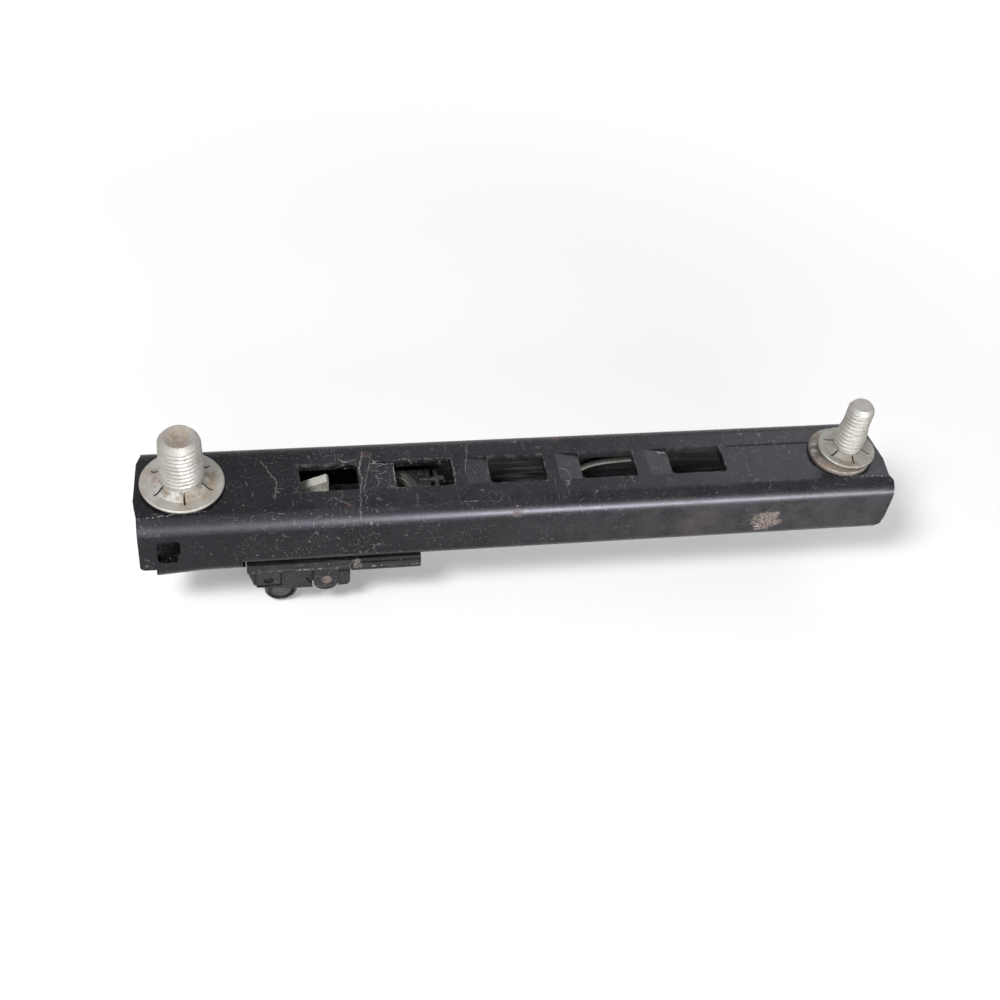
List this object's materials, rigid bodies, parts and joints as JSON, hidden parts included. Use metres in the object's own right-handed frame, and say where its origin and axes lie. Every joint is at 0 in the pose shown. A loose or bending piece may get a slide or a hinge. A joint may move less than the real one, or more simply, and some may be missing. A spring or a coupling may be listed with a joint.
{
  "type": "seat belt height adjuster",
  "caption": "Seat belt height adjuster: a slotted steel channel with two anchor studs and a sliding belt carriage that a toothed pawl latches into a row of windows.",
  "frame": {"origin": "on the axis of the upper anchor stud, at the outer face of the channel's web, which faces the pillar", "axes": "+X down the channel from the upper stud to the lower stud, +Z the way the studs point, into the pillar, +Y across the channel"},
  "size_m": [0.2002, 0.027, 0.0539],
  "materials": {
    "black_coated_steel": "satin black coating, scratched",
    "plated_steel": "dull zinc with light rust",
    "dark_steel": "dark, oiled",
    "rusty_steel": "rusted",
    "black_plastic": "matt, dusty"
  },
  "bodies": {
    "channel": {"rail": "black_coated_steel", "upper_anchor_stud": "plated_steel", "upper_retaining_washer": "plated_steel", "lower_anchor_stud": "plated_steel", "lower_backing_washer": "rusty_steel", "lower_retaining_washer": "plated_steel", "anti_rattle_wire": "plated_steel"},
    "carriage": {"carriage_plate": "dark_steel", "anchor_nut": "dark_steel", "outer_shoe": "black_plastic", "rear_saddle": "black_plastic", "near_cheek_insert": "black_plastic", "far_cheek_insert": "black_plastic", "near_insert_pin": "dark_steel", "far_insert_pin": "dark_steel", "near_lug_rivet": "rusty_steel", "far_lug_rivet": "rusty_steel", "near_end_pad": "black_plastic", "far_end_pad": "black_plastic", "web_shoe": "black_plastic", "shoe_rivet": "plated_steel", "pawl_pin": "dark_steel", "pin_clip": "dark_steel", "pawl_spring": "dark_steel"},
    "latch": {"pawl": "plated_steel", "release_bar": "black_plastic"}
  },
  "joints": [
    {"name": "carriage_slide", "type": "slide", "parent": "channel", "child": "carriage", "axis": [1, 0, 0], "range_m": [0, 0.0984]},
    {"name": "pawl_hinge", "type": "hinge", "parent": "carriage", "child": "latch", "pos_m": [0.019, 0, -0.01085], "axis": [0, 1, 0], "range_deg": [-10.5, 0], "stiffness_Nm_per_rad": 0.05, "springref_deg": -20.05}
  ]
}
